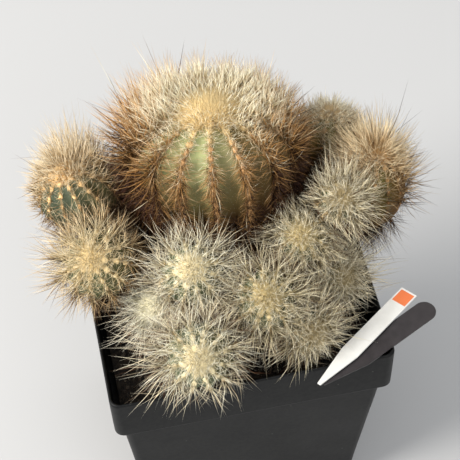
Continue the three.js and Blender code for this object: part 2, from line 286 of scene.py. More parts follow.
# The heads, as in the part's source: middle and radius of each globe, the crown's height above
# the middle and the globe's reach below it, the lean of its axis and the way it leans, where
# its stem stands in the soil and how thick, and its ribs. kind picks its skin, wool and spines.
headParts = ("centre", "radius", "upper", "lower", "lean", "stand", "stem", "ribs", "kind")
headRows = {
    "head_main": ((2.5, 36, 212), 42, 22, 44, (11, 98), (0, 20), 30, 15, "old"),
    "head_left_back": ((-72, 38.5, 190), 21.5, 18, 25, (20, 180), (-46, 33), 7.5, 13, "tan"),
    "head_left_front": ((-67, -2.5, 177), 19.5, 16, 21, (31, -120), (-45, 2), 6.5, 12, "straw"),
    "head_front_upper": ((-21, -23.5, 180), 17.5, 15, 19, (24, -106), (-13, -19), 6.5, 12,
                         "pale"),
    "head_front_small": ((-39.5, -20.5, 155), 12.5, 11, 13, (40, -130), (-34, -15), 5, 10,
                         "cream"),
    "head_front_low": ((-25.5, -62, 164), 18, 15, 19, (44, -102), (-17, -42), 6.5, 12, "pale"),
    "head_front_right": ((13, -41.5, 172), 17, 14, 18, (30, -95), (9, -27), 6, 12, "khaki"),
    "head_right_small": ((40, -11.5, 178), 14, 12, 14, (28, -110), (31, -7), 5, 11, "khaki"),
    "head_right_middle": ((61, -5, 196), 11.5, 11, 14, (28, -90), (49, 6), 4.5, 10, "dusty"),
    "head_right_back": ((83, 11.5, 180), 18, 24, 21, (12, 50), (49, 22), 6, 13, "rust"),
    "head_right_low": ((55, -22, 154), 12, 11, 12, (45, -60), (50, -17), 4.5, 10, "dusty"),
    "head_corner": ((33, -53, 155), 12, 11, 13, (48, -75), (29, -44), 5, 10, "dusty"),
    "head_right_far": ((67, 45.5, 190), 17.5, 16, 20, (15, 60), (45, 43), 6.5, 12, "far"),
    "head_back_left": ((-38, 60, 160), 14, 12, 15, (30, 125), (-30, 51), 5, 11, "straw"),
    "head_back_right": ((33, 62, 158), 13, 12, 14, (30, 65), (26, 55), 5, 10, "straw"),
}
heads = {name: dict(zip(headParts, row)) for name, row in headRows.items()}
heads["head_right_back"]["knee"] = 0.15  # its stalk bends almost at its middle
pathSteps = 96
soilZ = 130
pathLook = {"rootZ": (104, 117, 133), "knee": 0.75}


def spanPoints(a, b, c, d, count=80):
    # one span of a centripetal curve, from b to c
    before, here, after = (math.sqrt(np.linalg.norm(q - p)) for p, q in ((a, b), (b, c), (c, d)))
    start = ((b - a) / before - (c - a) / (before + here) + (c - b) / here) * here
    end = ((c - b) / here - (d - b) / (here + after) + (d - c) / after) * here
    t = np.linspace(0, 1, count, endpoint=False)[:, None]
    return ((2 * t**3 - 3 * t**2 + 1) * b + (t**3 - 2 * t**2 + t) * start
            + (3 * t**2 - 2 * t**3) * c + (t**3 - t**2) * end)


def unit(v):
    return v / np.linalg.norm(v, axis=-1, keepdims=True)


def pathOf(head):
    # the line of a head's middle from its root to its crown, with two sideways directions on it
    lean, toward = (math.radians(a) for a in head["lean"])
    axis = np.array((math.sin(lean) * math.cos(toward), math.sin(lean) * math.sin(toward),
                     math.cos(lean)))
    centre = np.array(head["centre"], float)
    knots = [np.array((*head["stand"], z), float) for z in pathLook["rootZ"]]
    knots.append(centre - axis * head["lower"] * head.get("knee", pathLook["knee"]))
    knots += [centre, centre + axis * head["upper"]]
    ends = [2 * knots[0] - knots[1], *knots, 2 * knots[-1] - knots[-2]]
    line = np.concatenate([spanPoints(*ends[i:i + 4]) for i in range(len(knots) - 1)]
                          + [knots[-1][None]])
    run = np.concatenate([[0], np.cumsum(np.linalg.norm(np.diff(line, axis=0), axis=1))])
    at = np.linspace(0, run[-1], pathSteps + 1)
    points = np.stack([np.interp(at, run, line[:, i]) for i in range(3)], axis=1)
    tangents = unit(np.gradient(points, axis=0))
    sideX = [Vector((1, 0, 0))]
    for before, after in zip(tangents, tangents[1:]):
        turn = Vector(before).rotation_difference(Vector(after))
        sideX.append(turn @ sideX[-1])
    sideX = np.array([tuple(v) for v in sideX])
    middle = int(np.argmin(np.linalg.norm(points - centre, axis=1)))
    return {"points": points, "tangents": tangents, "sideX": sideX,
            "sideY": np.cross(tangents, sideX), "length": run[-1], "middle": middle}


def radiusAt(head, path, step):
    along = (step - path["middle"]) / pathSteps * path["length"]
    reach = np.where(along > 0, head["upper"], head["lower"])
    globe = head["radius"] * np.sqrt(np.clip(1 - (along / reach) ** 2, 0, None))
    stalk = np.hypot(globe, head["stem"] * np.clip(-along / head["lower"], 0, 1))
    return np.where(along > 0, globe, np.minimum(head["radius"], stalk))


def stepAt(head, path, latitude):
    reach = np.where(latitude > 0, head["upper"], head["lower"])
    return path["middle"] + np.sin(latitude) * reach * pathSteps / path["length"]


# Skins: ribbed globes on stalks, as fine as the light shows.
skinLook = {
    "ribDepth": 0.13,
    "twist": {"head_main": 0.21},  # shares of a rib, so that the ribs lie as seen
    "columns": {"head_main": 8, "other": 6},
    "rows": {"head_main": 72, "other": 36},
    "globeShare": 0.74,
    "lowest": -1.0,  # latitude of the lowest areoles, in radians
    "highest": 1.36,
    "skirt": 0.1,  # how far the fine globe goes on below its lowest areoles
    "fade": (3, 30),  # steps over which the ribs end at the crown and at the root
    "youngest": 1.15, "jitter": 0.02,
    "notch": 0.018,  # of the radius, between two areoles of a rib
    "areoleRows": {"head_main": 17, "other": 9},
}


def lookFor(table, name):
    return table.get(name, table.get("other", 0))


def crestOf(head, name, azimuth):
    # 1 on a rib's crest and 0 in the furrow, with the rib's number
    count = azimuth / (2 * math.pi) * head["ribs"] + lookFor(skinLook["twist"], name)
    return (1 + np.cos(count * 2 * math.pi)) / 2, np.round(count)


def skinPoints(name, head, path, step, azimuth, latitude):
    at = np.arange(pathSteps + 1)
    middle, up, sideX, sideY = (
        np.stack([np.interp(step, at, path[key][:, i]) for i in range(3)], axis=-1)
        for key in ("points", "tangents", "sideX", "sideY"))
    side = sideX * np.cos(azimuth)[:, None] + sideY * np.sin(azimuth)[:, None]
    crest, number = crestOf(head, name, azimuth)
    atCrown, atRoot = skinLook["fade"]
    shown = np.clip((pathSteps - step) / atCrown, 0, 1) * np.clip(step / atRoot, 0, 1)
    row = ((skinLook["highest"] - latitude) / (skinLook["highest"] - skinLook["lowest"])
           * (lookFor(skinLook["areoleRows"], name) - 1))
    notch = np.cos(2 * math.pi * (row + 0.5 * (number % 2))) * crest**2 * skinLook["notch"]
    factor = 1 - shown * (skinLook["ribDepth"] * (1 - crest) - notch)
    radius = np.maximum(radiusAt(head, path, step), 0)
    return middle + side * (radius * factor)[:, None], side, up, crest


def makeSkin(name, head, path, material):
    columns = head["ribs"] * lookFor(skinLook["columns"], name)
    bm = bmesh.new()
    bmesh.ops.create_uvsphere(bm, u_segments=columns, v_segments=lookFor(skinLook["rows"], name),
                              radius=1)
    mesh = meshOf(bm, name + "_skin")
    ball = pointsOf(mesh)
    polar = np.arccos(np.clip(ball[:, 2], -1, 1)) / math.pi
    share = skinLook["globeShare"]
    lowest = skinLook["lowest"] - skinLook["skirt"]
    latitude = math.pi / 2 + (lowest - math.pi / 2) * np.clip(polar / share, 0, 1)
    step = stepAt(head, path, latitude)
    below = np.clip((polar - share) / (1 - share), 0, 1)
    step = np.clip(step * (1 - below), 0, pathSteps)
    azimuth = np.arctan2(ball[:, 1], ball[:, 0])
    points, side, up, crest = skinPoints(name, head, path, step, azimuth, latitude)
    mesh.vertices.foreach_set("co", (points * mm).ravel())
    # which side of the skin is painted in shade: the side away from the key light
    shadedSide = side[:, :2] @ np.array(sideShadeLook["towards"]) if head["kind"] == "old" else side[:, 0]
    giveNumbers(mesh, {"latitude": np.clip(0.5 + latitude / math.pi, 0, 1) * (1 - below),
                       "crest": crest, "shadedSide": shadedSide})
    addPiece(mesh, name + "_skin", material, name)


def giveNumbers(mesh, numbers):
    for name, values in numbers.items():
        layer = mesh.attributes.new(name, "FLOAT", "POINT")
        layer.data.foreach_set("value", np.asarray(values, np.float32))


def addPiece(mesh, name, material, node, smooth=True):
    mesh.materials.append(material)
    if smooth:
        mesh.shade_smooth()
    mesh.update()
    piece = addObject(name, mesh)
    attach(piece, "root")
    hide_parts(node)
    return piece


# Copies of one small closed shape. Each has its own place, set point by point.
def copiesOf(name, shapes):
    bm = bmesh.new()
    for shape, count in shapes:
        for _ in range(count):
            bm.from_mesh(shape)
    return meshOf(bm, name)


def needleShape(cuts):
    bm = bmesh.new()
    bmesh.ops.create_cone(bm, cap_ends=True, cap_tris=False, segments=3, radius1=1, radius2=0,
                          depth=1)
    bmesh.ops.translate(bm, verts=bm.verts, vec=(0, 0, 0.5))
    if cuts:
        tall = [e for e in bm.edges if abs(e.verts[0].co.z - e.verts[1].co.z) > 0.5]
        bmesh.ops.subdivide_edges(bm, edges=tall, cuts=cuts)
    return meshOf(bm, "needle")


def cushionShape():
    bm = bmesh.new()
    bmesh.ops.create_uvsphere(bm, u_segments=6, v_segments=4, radius=1)
    return meshOf(bm, "cushion")


def pointsOf(shape):
    found = np.empty(len(shape.vertices) * 3)
    shape.vertices.foreach_get("co", found)
    return found.reshape(-1, 3)


needleLook = {"tip": 0.999, "taper": 2.2, "upright": 0.9}


def bentNeedles(shape, spines):
    # every copy of the needle follows its spine's own bent line
    form = pointsOf(shape)
    t = form[:, 2]
    body = t < needleLook["tip"]
    full = np.where(body, 1 - t, 1)
    ring = form[:, :2] / full[:, None] * np.where(body, 1 - t**needleLook["taper"], 0)[:, None]
    root, knee, tip, radius = (spines[k] for k in ("root", "knee", "tip", "radius"))
    w = t[None, :, None]
    line = ((1 - w) ** 2 * root[:, None] + 2 * w * (1 - w) * knee[:, None] + w**2 * tip[:, None])
    along = unit(tip - root)
    upright = np.abs(along[:, 2:]) > needleLook["upright"]
    helper = np.where(upright, (1.0, 0.0, 0.0), (0.0, 0.0, 1.0))
    acrossA = unit(np.cross(along, helper))
    acrossB = np.cross(along, acrossA)
    wall = ring[None, :, :1] * acrossA[:, None] + ring[None, :, 1:] * acrossB[:, None]
    return (line + wall * radius[:, None, None]).reshape(-1, 3), np.tile(t, len(root))


needle = needleShape(1)
hair = needleShape(0)
cushion = cushionShape()

# Where spines may reach, in millimetres.
clearLook = {
    # past the plane between two heads, where neighbours' spines mingle
    "overlap": {"head_main": 10.0, "head_right_back": 16.0, "head_front_small": 8.0,
                "head_front_upper": 12.0, "head_right_middle": -5.0, "head_right_small": 0.0,
                "head_left_back": 14.0, "other": 7.0},
    "planeRounds": 3, "ballRounds": 2, "kneeShare": 0.3, "skin": 0.8, "sunk": 0.5,
    "overCrown": (-3, 30.0), "crownShare": 0.55,  # the space over a crown, kept for its own
    "tested": (0.25, 0.5, 0.75, 1.0),  # shares of a spine's length
    "potHalf": (68.6, 75.6), "rimZ": 150.6, "mostLift": 6, "leastShare": 0.3,
    "overSoil": 1, "outsideZ": 138, "besideLabel": 1.5, "overLabel": 7,
    "boxMargin": 3.0,
}
labelLook = {
    "smoke": {"tip": (33.5, -84.5), "end": (101.5, -49.5), "width": 12},
    "white": {"tip": (31, -85), "end": (91.6, -39), "width": 10},
    "height": 150,
}
paths = {name: pathOf(head) for name, head in heads.items()}
boxLow = np.array(cadBox[0]) / mm - clearLook["boxMargin"]
boxHigh = np.array(cadBox[1]) / mm + clearLook["boxMargin"]


def ballsOf(names):
    centres, radii = [], []
    for name in names:
        steps = np.arange(2, pathSteps, 3)
        centres.append(paths[name]["points"][steps])
        radii.append(radiusAt(heads[name], paths[name], steps))
    return np.concatenate(centres), np.concatenate(radii)


def keepClear(name, spines):
    # bends tips off the neighbours, the rim and the labels; drops a spine that can't clear them
    head = heads[name]
    own = np.array(head["centre"], float)
    others = [n for n in heads if n != name]
    tip, knee, root = spines["tip"], spines["knee"], spines["root"]
    share = clearLook["kneeShare"]
    for _ in range(clearLook["planeRounds"]):
        for other in others:
            far = np.array(heads[other]["centre"], float)
            between = np.linalg.norm(far - own)
            normal = (far - own) / between
            edge = ((far @ far - own @ own + head["radius"]**2 - heads[other]["radius"]**2)
                    / (2 * between) + lookFor(clearLook["overlap"], name))
            over = np.clip(tip @ normal - edge, 0, None)
            tip = tip - over[:, None] * normal
            knee = knee - over[:, None] * normal * share
    centres, radii = ballsOf(others)
    for _ in range(clearLook["ballRounds"]):
        away = tip[:, None] - centres[None]
        distance = np.linalg.norm(away, axis=2)
        worst = np.argmax(radii - distance, axis=1)
        pick = np.arange(len(tip))
        push = np.clip(radii[worst] + clearLook["skin"] - distance[pick, worst], 0, None)
        step = away[pick, worst] / distance[pick, worst][:, None] * push[:, None]
        tip = tip + step
        knee = knee + step * share
    tip = np.clip(tip, boxLow, boxHigh)
    keep = np.ones(len(tip), bool)
    inner, outer = clearLook["potHalf"]
    for w in clearLook["tested"]:
        at = (1 - w)**2 * root + 2 * w * (1 - w) * knee + w**2 * tip
        reach = np.max(np.abs(at[:, :2]), axis=1)
        low = (reach > inner) & (reach < outer) & (at[:, 2] < clearLook["rimZ"])
        rise = np.where(low, clearLook["rimZ"] - at[:, 2], 0)
        small = rise < clearLook["mostLift"]
        tip[:, 2] += np.where(small, rise / max(w**2, clearLook["leastShare"]), 0)
        keep &= small
        keep &= ~((reach < outer) & (at[:, 2] < soilZ + clearLook["overSoil"]))
        keep &= ~((reach > outer) & (at[:, 2] < clearLook["outsideZ"]))
        for label in ("smoke", "white"):
            start = np.array(labelLook[label]["tip"])
            run = np.array(labelLook[label]["end"]) - start
            way = np.clip((at[:, :2] - start) @ run / (run @ run), 0, 1)
            gap = np.linalg.norm(at[:, :2] - start - way[:, None] * run, axis=1)
            near = gap < labelLook[label]["width"] / 2 + clearLook["besideLabel"]
            keep &= ~(near & (np.abs(at[:, 2] - labelLook["height"]) < clearLook["overLabel"]))
        distance = np.linalg.norm(at[:, None] - centres[None], axis=2)
        keep &= (distance > radii - clearLook["sunk"]).all(axis=1)
    lowest, highest = clearLook["overCrown"]
    for other in others:
        path = paths[other]
        crown, axis = path["points"][-1], path["tangents"][-1]
        for at in (knee, tip):
            rise = (at - crown) @ axis
            off = np.linalg.norm(at - crown - rise[:, None] * axis, axis=1)
            keep &= ~((rise > lowest) & (rise < highest)
                      & (off < clearLook["crownShare"] * heads[other]["radius"]))
    spines = {**spines, "tip": tip, "knee": knee}
    return {key: values[keep] for key, values in spines.items()}


# Wool and spines of each kind of head. Lengths and widths in millimetres.
kindLook = {
    "old": {"perAreole": 43, "length": (12, 19.5), "radius": 0.165, "centralShare": 0.4,
            "rise": 0.35, "fan": 0.55, "comb": 0.3, "curl": 0.35, "wave": 0.08, "ageSpan": 1.5,
            "scatter": (1.5, 3.0), "loosen": 1.0, "thinOut": 0.0, "dry": 2000,
            "dryLength": (10, 20), "dryLean": (-0.5, 0.7), "crownShare": (0.5, 0.9, 1.3, 1.3),
            "crownLength": (0.6, 0.95, 1.05), "cushion": 1.75, "padLong": 1.1, "woolAge": 1.7,
            "mound": 14.5, "clumps": 26, "moundWool": 6000, "tuftWool": 6500, "woolLength": 6.0},
    "straw": {"perAreole": 35, "length": (13, 21), "radius": 0.12, "centralShare": 0.4,
              "rise": 0.3, "fan": 0.35, "comb": 0.3, "curl": 0.25, "wave": 0.11, "ageSpan": 1.7,
              "scatter": (1.6, 2.4), "thinOut": 0.3, "dry": 700, "dryLength": (11, 18),
              "dryLean": (-0.9, 0.4), "crownShare": (0.9, 1, 1, 1), "crownLength": (0.6, 0.85, 1),
              "cushion": 1.35, "padLong": 1.0, "woolAge": 1.0, "mound": 4.6, "clumps": 8,
              "moundWool": 1100, "tuftWool": 1500, "woolLength": 4.6},
    "pale": {"perAreole": 27, "length": (15, 27), "radius": 0.122, "centralShare": 0.35,
             "rise": 0.1, "fan": 0.4, "comb": 0.25, "curl": -0.1, "wave": 0.2, "ageSpan": 1.65,
             "scatter": (0.9, 1.2), "thinOut": 0.4, "dry": 800, "dryLength": (11, 19),
             "dryLean": (-0.5, 0.5), "crownShare": (0.55, 0.75, 0.95, 1),
             "crownLength": (0.45, 0.7, 1), "cushion": 1.5, "padLong": 1.0, "woolAge": 1.0,
             "mound": 5.5, "clumps": 9, "moundWool": 1600, "tuftWool": 2300, "woolLength": 5.0},
}
kindLook["khaki"] = kindLook["pale"] | {"mound": 4.8, "clumps": 7, "moundWool": 1200}
kindLook["dusty"] = kindLook["pale"] | {"mound": 4.4, "clumps": 6, "moundWool": 900,
                                        "rise": 0.25}
kindLook["cream"] = kindLook["pale"] | {"mound": 7.0, "clumps": 9, "moundWool": 2300,
                                        "crownShare": (0.5, 0.7, 1, 1)}
kindLook["tan"] = kindLook["straw"] | {"length": (13, 21), "crownLength": (1.25, 1.4, 1.25),
                                       "mound": 4.5, "clumps": 8, "fan": 0.15,
                                       "crownShare": (1.6, 1.7, 1.3, 1), "dry": 2400,
                                       "dryLength": (12, 22), "dryLean": (-1.3, 0.2)}
kindLook["rust"] = kindLook["straw"] | {"rise": 0.35, "fan": 0.5, "ageSpan": 1.4, "dry": 4300,
                                        "crownLength": (1.2, 1.3, 1.2), "thinOut": -0.2,
                                        "crownShare": (2.1, 2.0, 1.4, 1),
                                        "dryLength": (14, 28), "dryLean": (-1.6, 0.1)}
kindLook["far"] = kindLook["rust"] | {"mound": 3.4, "clumps": 5, "moundWool": 600, "dry": 900,
                                      "crownShare": (1.1, 1.1, 1, 0.9), "length": (14, 23),
                                      "crownLength": (0.7, 0.8, 0.95), "ageSpan": 1.3,
                                      "dryLean": (-0.95, 0.4)}
# the old head's open front: its spines are few, short and thin there, and some lie crosswise
frontLook = {"towards": (-0.23, -0.973), "start": 0.5, "full": 0.86, "least": 1.3,
             "lengthShare": 0.66, "thin": 0.68, "age": 0.14, "droop": 0.55, "topLength": 0.5,
             "topShare": 0.75, "crossing": 0.36, "crossingLength": 0.8, "crossingAge": 0.12,
             "oldestCrossing": 0.62, "crownEdge": 1.3, "crownFade": 0.2}
# how much younger or older the old head's spines look by side, paler behind as painted light, and
# its skin's side in painted shade
sideShadeLook = {"age": (-0.1, -0.27), "most": 0.18, "towards": (0.93, -0.37)}
# how long each head's spines are, against its kind's
reachLook = {"head_right_far": 0.56, "head_right_back": 0.8, "head_right_low": 1.38,
             "head_left_back": 0.75, "head_right_middle": 1.1, "head_front_low": 1.08,
             "head_front_small": 1.15, "head_left_front": 0.98, "head_corner": 1.1,
             "other": 1.0}
# sides on which a head's spines are longer or shorter: the side, how much, and the shares of
# that at mid height and near the crown
sideLook = {"head_main": [((-0.98, 0.2), 0.85, (1.0, 0.35))],
            "head_front_low": [((0.1, -1.0), -0.2, (1.0, 1.0)), ((-1.0, 0.0), 0.25, (1.0, 1.0))],
            "head_front_small": [((-0.6, -0.8), 0.2, (1.0, 1.0))],
            "head_left_back": [((-1.0, 0.1), -0.42, (1.0, 1.0)), ((0.6, 0.8), 0.35, (0.0, 1.0))],
            "head_left_front": [((-0.7, 0.7), 0.4, (1.0, 1.0))],
            "head_right_back": [((-0.1, 1.0), 0.5, (0.0, 1.0)), ((0.8, -0.6), 0.5, (1.0, -0.2))],
            "head_right_low": [((0.9, 0.4), -0.08, (1.0, 1.0))],
            "other": []}
# a few long ones, golden or dark by the way they turn
strayLook = {"share": 0.014, "length": 1.5, "goldenTurn": 3, "ages": (0.2, 1.0)}
# where most of a head's dead spines stand, how widely, and the share of them that do
dryLook = {"head_right_back": (-0.45, 0.5, 0.5), "other": (0.0, 1.0, 0.0)}
stalkLook = {"aboveSoil": 4, "upTo": -0.55, "skinAt": -0.8, "scatter": 0.35, "wave": 0.08,
             "width": (0.8, 1.2), "age": (0.8, 1.1)}
# sides on which a head has fewer spines, so that its skin shows, and how many fewer
openLook = {"head_left_back": ((-0.1, -0.99), 0.9), "head_left_front": ((0.6, -0.8), 0.3),
            "head_right_back": ((0.3, -0.95), 0.7), "head_front_low": ((-0.1, -1.0), 0.6)}
# what all live spines share: tilts off the areole in degrees, shares of length and width
spineLook = {
    "centralTilt": (5, 48), "radialTilt": (50, 84), "crossingTilt": 80, "crossingTurn": 0.35,
    "riseAt": (-0.8, 0.35, 0.85, 1.2), "lowRise": -0.35, "combFrom": 0.1, "combOver": 0.6,
    "curlAt": (-0.7, 0.1, 0.5, 1.3), "curlShare": (-0.6, 1, 0.8, -0.5), "radialLength": 0.82,
    "bareLength": 0.3, "oldLength": 0.25, "width": (0.75, 1.25), "centralWidth": 1.3,
    "radialWidth": 0.88, "sunk": 0.6, "ageNoise": 0.05,
}


def normalsOf(head, side, up, latitude):
    reach = np.where(latitude > 0, head["upper"], head["lower"])
    return unit(side * (np.cos(latitude) / head["radius"])[:, None]
                + up * (np.sin(latitude) / reach)[:, None])


def areolesOf(name, head, path, draw):
    # one line for each areole: its place, its normal, and the ways up and across the rib
    rows = lookFor(skinLook["areoleRows"], name)
    rib, row = (a.ravel() for a in np.meshgrid(np.arange(head["ribs"]), np.arange(rows)))
    turn = rib - lookFor(skinLook["twist"], name)
    azimuth = turn / head["ribs"] * 2 * math.pi
    slide = (row + 0.5 * (np.round(turn + lookFor(skinLook["twist"], name)) % 2)) / (rows - 1)
    latitude = (skinLook["highest"] + (skinLook["lowest"] - skinLook["highest"]) * slide
                + draw.uniform(-skinLook["jitter"], skinLook["jitter"], len(row)))
    step = stepAt(head, path, latitude)
    points, side, up, _ = skinPoints(name, head, path, step, azimuth, latitude)
    normal = normalsOf(head, side, up, latitude)
    rising = unit(up - normal * np.sum(up * normal, axis=1)[:, None])
    age = np.clip((skinLook["youngest"] - latitude) / kindLook[head["kind"]]["ageSpan"], 0, 1)
    if name == "head_main":  # paler behind, browner in front
        # the paler back is painted light, where the head's top catches more light
        shift = np.minimum(side[:, :2] @ np.array(sideShadeLook["age"]), sideShadeLook["most"])
        age = np.clip(age + shift * np.clip(age * 3, 0, 1), 0, 1)
    return {"place": points, "normal": normal, "rising": rising, "row": row,
            "across": np.cross(rising, normal), "side": side, "latitude": latitude, "age": age}


def frontShare(name, areoles):
    # how far each areole faces the open side, where the old head's skin shows
    if name != "head_main":
        return np.zeros(len(areoles["age"]))
    facing = areoles["side"][:, :2] @ np.array(frontLook["towards"])
    shown = np.clip((facing - frontLook["start"]) / (frontLook["full"] - frontLook["start"]), 0, 1)
    below = frontLook["crownEdge"] - areoles["latitude"]
    return shown * np.clip(below / frontLook["crownFade"], 0, 1)


def spinesOf(name, head, path, areoles, draw):
    look = kindLook[head["kind"]]
    front = frontShare(name, areoles)
    crown = np.interp(areoles["row"], (0, 1, 2, 4), look["crownShare"])
    crown = crown + (frontLook["topShare"] - crown) * front * (areoles["latitude"] > 0.65)
    count = look["perAreole"] * (1 - front * (1 - frontLook["least"])) * crown
    count = count * (1 - look["thinOut"] * np.clip(areoles["age"] * 2 - 0.9, 0, 1))
    openSide, fewer = openLook.get(name, ((0, 0), 0))
    bare = np.clip(areoles["side"][:, :2] @ np.array(openSide), 0, 1)
    count = count * (1 - fewer * bare)
    count = np.floor(count + draw.uniform(0, 1, len(count))).astype(int)
    pick = np.repeat(np.arange(len(count)), count)
    n = len(pick)
    central = draw.uniform(0, 1, n) < look["centralShare"] * (1 - 0.6 * front[pick])
    tilt = np.radians(np.where(central, draw.uniform(*spineLook["centralTilt"], n),
                               draw.uniform(*spineLook["radialTilt"], n)))
    spin = draw.uniform(0, 2 * math.pi, n)
    # in front some thin ones lie straight across the furrow
    crossing = draw.uniform(0, 1, n) < frontLook["crossing"] * front[pick]
    tilt = np.where(crossing, math.radians(spineLook["crossingTilt"]), tilt)
    level = np.where(spin > math.pi, math.pi, 0) + draw.normal(0, spineLook["crossingTurn"], n)
    spin = np.where(crossing, level, spin)
    normal, rising, across = (areoles[k][pick] for k in ("normal", "rising", "across"))
    # spines lean up on the flanks and fan away from the crown above, where they lie combed
    latitude = areoles["latitude"][pick]
    rise = np.interp(latitude, spineLook["riseAt"],
                     (spineLook["lowRise"], look["rise"], 0, -look["fan"]))
    droop = frontLook["droop"] * np.where(crossing, 0.3, draw.uniform(-0.1, 1.9, n))
    rise = rise - (rise + droop) * front[pick]
    combed = np.clip((latitude - spineLook["combFrom"]) / spineLook["combOver"], 0, 1)
    aslant = (1 - look["comb"] * combed) * np.sin(tilt)
    out = unit(normal * np.cos(tilt)[:, None] + across * (aslant * np.cos(spin))[:, None]
               + rising * (aslant * np.sin(spin) + rise)[:, None])
    shortest, longest = look["length"]
    length = draw.uniform(shortest, longest, n)
    length = length * np.where(central, 1.0, spineLook["radialLength"])
    shorter = np.interp(latitude, (0.4, 0.8), (frontLook["lengthShare"], frontLook["topLength"]))
    shorter = shorter * draw.uniform(0.6, 1.4, n)
    shorter = np.where(crossing, frontLook["crossingLength"] * shorter, shorter)
    length *= 1 - front[pick] * (1 - shorter)
    length *= np.interp(areoles["row"][pick], (0, 2, 3), look["crownLength"])
    length *= lookFor(reachLook, name)
    length *= 1 - spineLook["bareLength"] * bare[pick] * (fewer > 0)
    for longSide, more, shares in lookFor(sideLook, name):
        aside = np.clip(areoles["side"][pick][:, :2] @ np.array(longSide), 0, 1)
        length *= 1 + more * aside * np.interp(latitude, (0.1, 0.8), shares)
    stray = draw.uniform(0, 1, n) < strayLook["share"]
    length *= np.where(stray, strayLook["length"], 1.0)
    length *= 1 - spineLook["oldLength"] * np.clip((areoles["age"][pick] - 0.7) / 0.3, 0, 1)
    jitter = draw.normal(0, 1, (n, 3))
    wide, tall = look["scatter"]
    roam = 1 + look.get("loosen", 0) * (1 - front[pick])[:, None]
    root = (areoles["place"][pick] - normal * spineLook["sunk"]
            + across * draw.uniform(-wide, wide, (n, 1)) * roam
            + rising * draw.uniform(-tall, tall, (n, 1)))
    curl = look["curl"] * np.interp(latitude, spineLook["curlAt"], spineLook["curlShare"])
    curl = curl * (1 - 1.5 * front[pick])
    turned = unit(out + rising * curl[:, None] + jitter * look["wave"])
    tip = root + (out + turned) * (length / 2)[:, None]
    half = (length * 0.5)[:, None]
    knee = root + out * half + draw.normal(0, 1, (n, 3)) * half * look["wave"]
    age = areoles["age"][pick] - front[pick] * frontLook["age"]
    age = age + draw.normal(0, spineLook["ageNoise"], n)
    aged = np.clip(age + frontLook["crossingAge"], 0, frontLook["oldestCrossing"])
    age = np.where(crossing, aged, age)
    age = np.where(stray, np.where(spin < strayLook["goldenTurn"], *strayLook["ages"]), age)
    radius = look["radius"] * draw.uniform(*spineLook["width"], n)
    radius = radius * np.where(central, spineLook["centralWidth"], spineLook["radialWidth"])
    return {"root": root, "knee": knee, "tip": tip,
            "radius": radius * (1 - front[pick] * (1 - frontLook["thin"])),
            "age": np.clip(age, 0, 1), "tone": draw.uniform(0, 1, n)}


def drySpinesOf(name, head, path, draw):
    # dead brown spines of the lower flank and the stalk, which fill the gaps between heads
    look = kindLook[head["kind"]]
    n = look["dry"]
    start = np.argmax(path["points"][:, 2] > soilZ + stalkLook["aboveSoil"])
    end = stepAt(head, path, np.array(stalkLook["upTo"]))
    step = start + (end - start) * np.sqrt(draw.uniform(0, 1, n))
    azimuth = draw.uniform(-math.pi, math.pi, n)
    middle, spread, share = lookFor(dryLook, name)
    gathered = draw.uniform(0, 1, n) < share
    azimuth = np.where(gathered, draw.normal(middle, spread, n), azimuth)
    low = np.full(n, stalkLook["skinAt"])
    points, side, up, _ = skinPoints(name, head, path, step, azimuth, low)
    out = unit(side + up * draw.uniform(*look["dryLean"], (n, 1))
               + draw.normal(0, stalkLook["scatter"], (n, 3)))
    length = draw.uniform(*look["dryLength"], n)[:, None]
    root = points - side * spineLook["sunk"]
    tip = root + out * length
    knee = (root + tip) / 2 + draw.normal(0, 1, (n, 3)) * length * stalkLook["wave"]
    return {"root": root, "knee": knee, "tip": tip,
            "radius": look["radius"] * draw.uniform(*stalkLook["width"], n),
            "age": draw.uniform(*stalkLook["age"], n), "tone": draw.uniform(0, 1, n)}


def makeSpines(name, head, path, areoles, material, draw):
    # live spines bend and dead ones are straight, with fewer faces
    groups = [(needle, keepClear(name, spinesOf(name, head, path, areoles, draw))),
              (hair, keepClear(name, drySpinesOf(name, head, path, draw)))]
    mesh = copiesOf(name + "_spines", [(shape, len(spines["root"])) for shape, spines in groups])
    points, along, age, tone = [], [], [], []
    for shape, spines in groups:
        placed, share = bentNeedles(shape, spines)
        points.append(placed)
        along.append(share)
        age.append(np.repeat(spines["age"], len(shape.vertices)))
        tone.append(np.repeat(spines["tone"], len(shape.vertices)))
    mesh.vertices.foreach_set("co", (np.concatenate(points) * mm).ravel())
    giveNumbers(mesh, {"along": np.concatenate(along), "age": np.concatenate(age),
                       "tone": np.concatenate(tone)})
    addPiece(mesh, name + "_spines", material, name)
    return [len(spines["root"]) for _, spines in groups]


woolLook = {
    "padShape": (0.9, 1.15, 0.5), "padSize": (0.8, 1.2), "padLumps": (0.55, 1.35),
    "leastTuft": 0.35, "tuftLean": 0.75, "tuftSpread": 0.4, "tuftLength": (0.35, 0.6),
    "clumpTurn": 2.4, "clumpSpread": 0.9, "moundLean": 0.25, "moundLength": (0.5, 1),
    "hairWidth": 0.9, "padTone": 0.4,
}


